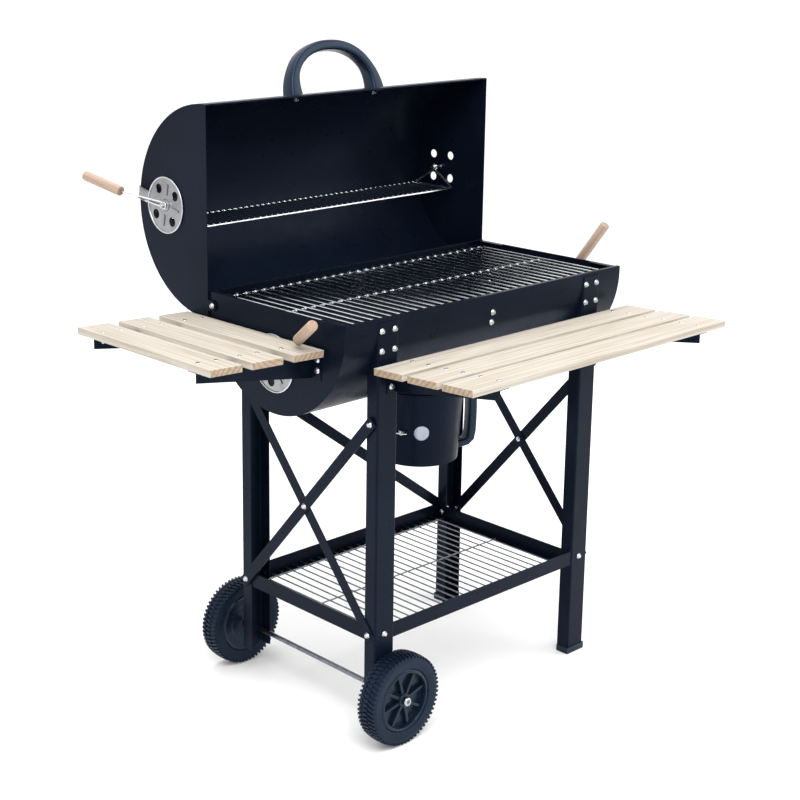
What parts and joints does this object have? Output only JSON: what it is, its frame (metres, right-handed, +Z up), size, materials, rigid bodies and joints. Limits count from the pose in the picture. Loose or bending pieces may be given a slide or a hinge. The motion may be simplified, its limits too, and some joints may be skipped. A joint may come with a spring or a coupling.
{
  "type": "barrel charcoal grill",
  "caption": "Barrel charcoal grill on a wheeled leg frame, with hinged lid, rotary air vents, warming rack, slatted shelves, wire tray and drop-out ash pot.",
  "frame": {"origin": "on the floor, under the middle of the bounding box", "axes": "+Z up, +X along the barrel towards the fixed feet, -Y towards the user and the front shelf"},
  "size_m": [1.1006, 0.9698, 1.284],
  "materials": {
    "black_paint": "satin blue-black heat-proof paint",
    "zinc_plate": "bright zinc plating",
    "chrome_wire": "bright chrome plated wire",
    "pine": "planed pale pine, unvarnished",
    "beech": "turned beech, pinkish",
    "black_plastic": "glossy blue-black plastic",
    "tyre_plastic": "semi-gloss blue-black plastic"
  },
  "bodies": {
    "cart": {"front_left_leg": "black_paint", "front_right_leg": "black_paint", "rear_left_leg": "black_paint", "rear_right_leg": "black_paint", "foot_caps": "black_plastic", "front_tray_rail": "black_paint", "rear_tray_rail": "black_paint", "left_tray_rail": "black_paint", "right_tray_rail": "black_paint", "tray_grid": "chrome_wire", "left_braces": "black_paint", "right_braces": "black_paint", "rear_brace": "black_paint", "frame_bolts": "zinc_plate", "axle": "zinc_plate", "axle_caps": "zinc_plate", "axle_clips": "zinc_plate", "body_shell": "black_paint", "body_left_end": "black_paint", "body_right_end": "black_paint", "leg_bolts": "zinc_plate", "grate_brackets": "zinc_plate", "grate_ledges": "black_paint", "bracket_bolts": "zinc_plate", "ash_collar": "black_paint", "hinge_bolts": "zinc_plate", "body_hub_bolts": "zinc_plate", "shelf_slats": "pine", "front_shelf_brackets": "black_paint", "side_shelf_brackets": "black_paint", "slat_screws": "zinc_plate"},
    "lid": {"lid_shell": "black_paint", "lid_left_end": "black_paint", "lid_right_end": "black_paint", "lid_handle": "black_plastic", "handle_screws": "zinc_plate", "lid_hub_bolts": "zinc_plate"},
    "hanging_rack": {"warming_rack": "chrome_wire"},
    "lid_left_damper": {"lid_left_vent": "zinc_plate", "vent_wires_lid_left": "chrome_wire", "grip_lid_left": "beech"},
    "lid_right_damper": {"lid_right_vent": "zinc_plate", "vent_wires_lid_right": "chrome_wire", "grip_lid_right": "beech"},
    "body_left_damper": {"body_left_vent": "zinc_plate", "vent_wires_body_left": "chrome_wire", "grip_body_left": "beech"},
    "body_right_damper": {"body_right_vent": "zinc_plate", "vent_wires_body_right": "chrome_wire", "grip_body_right": "beech"},
    "front_wheel_assembly": {"front_wheel": "black_plastic", "front_tyre": "tyre_plastic"},
    "rear_wheel_assembly": {"rear_wheel": "black_plastic", "rear_tyre": "tyre_plastic"},
    "ash_bucket": {"ash_pot": "black_paint", "ash_pot_handle": "black_plastic"},
    "ash_slide": {"ash_damper": "zinc_plate", "ash_wing_nut": "zinc_plate"},
    "lift_out_cooking_grate": {"cooking_grate": "chrome_wire"},
    "lift_out_charcoal_grate": {"charcoal_grate": "black_paint"}
  },
  "joints": [
    {"name": "lid_hinge", "type": "hinge", "parent": "cart", "child": "lid", "pos_m": [0.10153, 0.13692, 0.801], "axis": [1, 0, 0], "range_deg": [0, 90]},
    {"name": "rack_swing", "type": "hinge", "parent": "lid", "child": "hanging_rack", "pos_m": [0.10153, 0.27592, 0.979], "axis": [1, 0, 0], "range_deg": [-90, 0]},
    {"name": "lid_left_vent_turn", "type": "hinge", "parent": "lid", "child": "lid_left_damper", "pos_m": [-0.28847, 0.27592, 0.979], "axis": [1, 0, 0], "range_deg": [-56, 34]},
    {"name": "lid_right_vent_turn", "type": "hinge", "parent": "lid", "child": "lid_right_damper", "pos_m": [0.49153, 0.27592, 0.979], "axis": [1, 0, 0], "range_deg": [-45, 45]},
    {"name": "body_left_vent_turn", "type": "hinge", "parent": "cart", "child": "body_left_damper", "pos_m": [-0.28447, -0.04109, 0.724], "axis": [1, 0, 0], "range_deg": [-90, 0]},
    {"name": "body_right_vent_turn", "type": "hinge", "parent": "cart", "child": "body_right_damper", "pos_m": [0.48753, -0.04109, 0.724], "axis": [1, 0, 0], "range_deg": [-33, 57]},
    {"name": "front_wheel_spin", "type": "hinge", "parent": "cart", "child": "front_wheel_assembly", "pos_m": [-0.16447, -0.25859, 0.09], "axis": [0, 1, 0], "continuous": true},
    {"name": "rear_wheel_spin", "type": "hinge", "parent": "cart", "child": "rear_wheel_assembly", "pos_m": [-0.16447, 0.20891, 0.09], "axis": [0, 1, 0], "continuous": true},
    {"name": "ash_bucket_drop", "type": "slide", "parent": "cart", "child": "ash_bucket", "axis": [0, 0, -1], "range_m": [0, 0.12]},
    {"name": "ash_slide_turn", "type": "hinge", "parent": "ash_bucket", "child": "ash_slide", "pos_m": [0.10153, -0.04109, 0.531], "axis": [0, 0, 1], "range_deg": [-28, 0]},
    {"name": "cooking_grate_lift", "type": "slide", "parent": "cart", "child": "lift_out_cooking_grate", "axis": [0, 0, 1], "range_m": [0, 0.05]},
    {"name": "charcoal_grate_lift", "type": "slide", "parent": "cart", "child": "lift_out_charcoal_grate", "axis": [0, 0, 1], "range_m": [0, 0.025]}
  ],
  "couplings": [
    {"joint": "rack_swing", "follows": "lid_hinge", "ratio": -1},
    {"joint": "charcoal_grate_lift", "follows": "cooking_grate_lift", "ratio": 0.5}
  ]
}
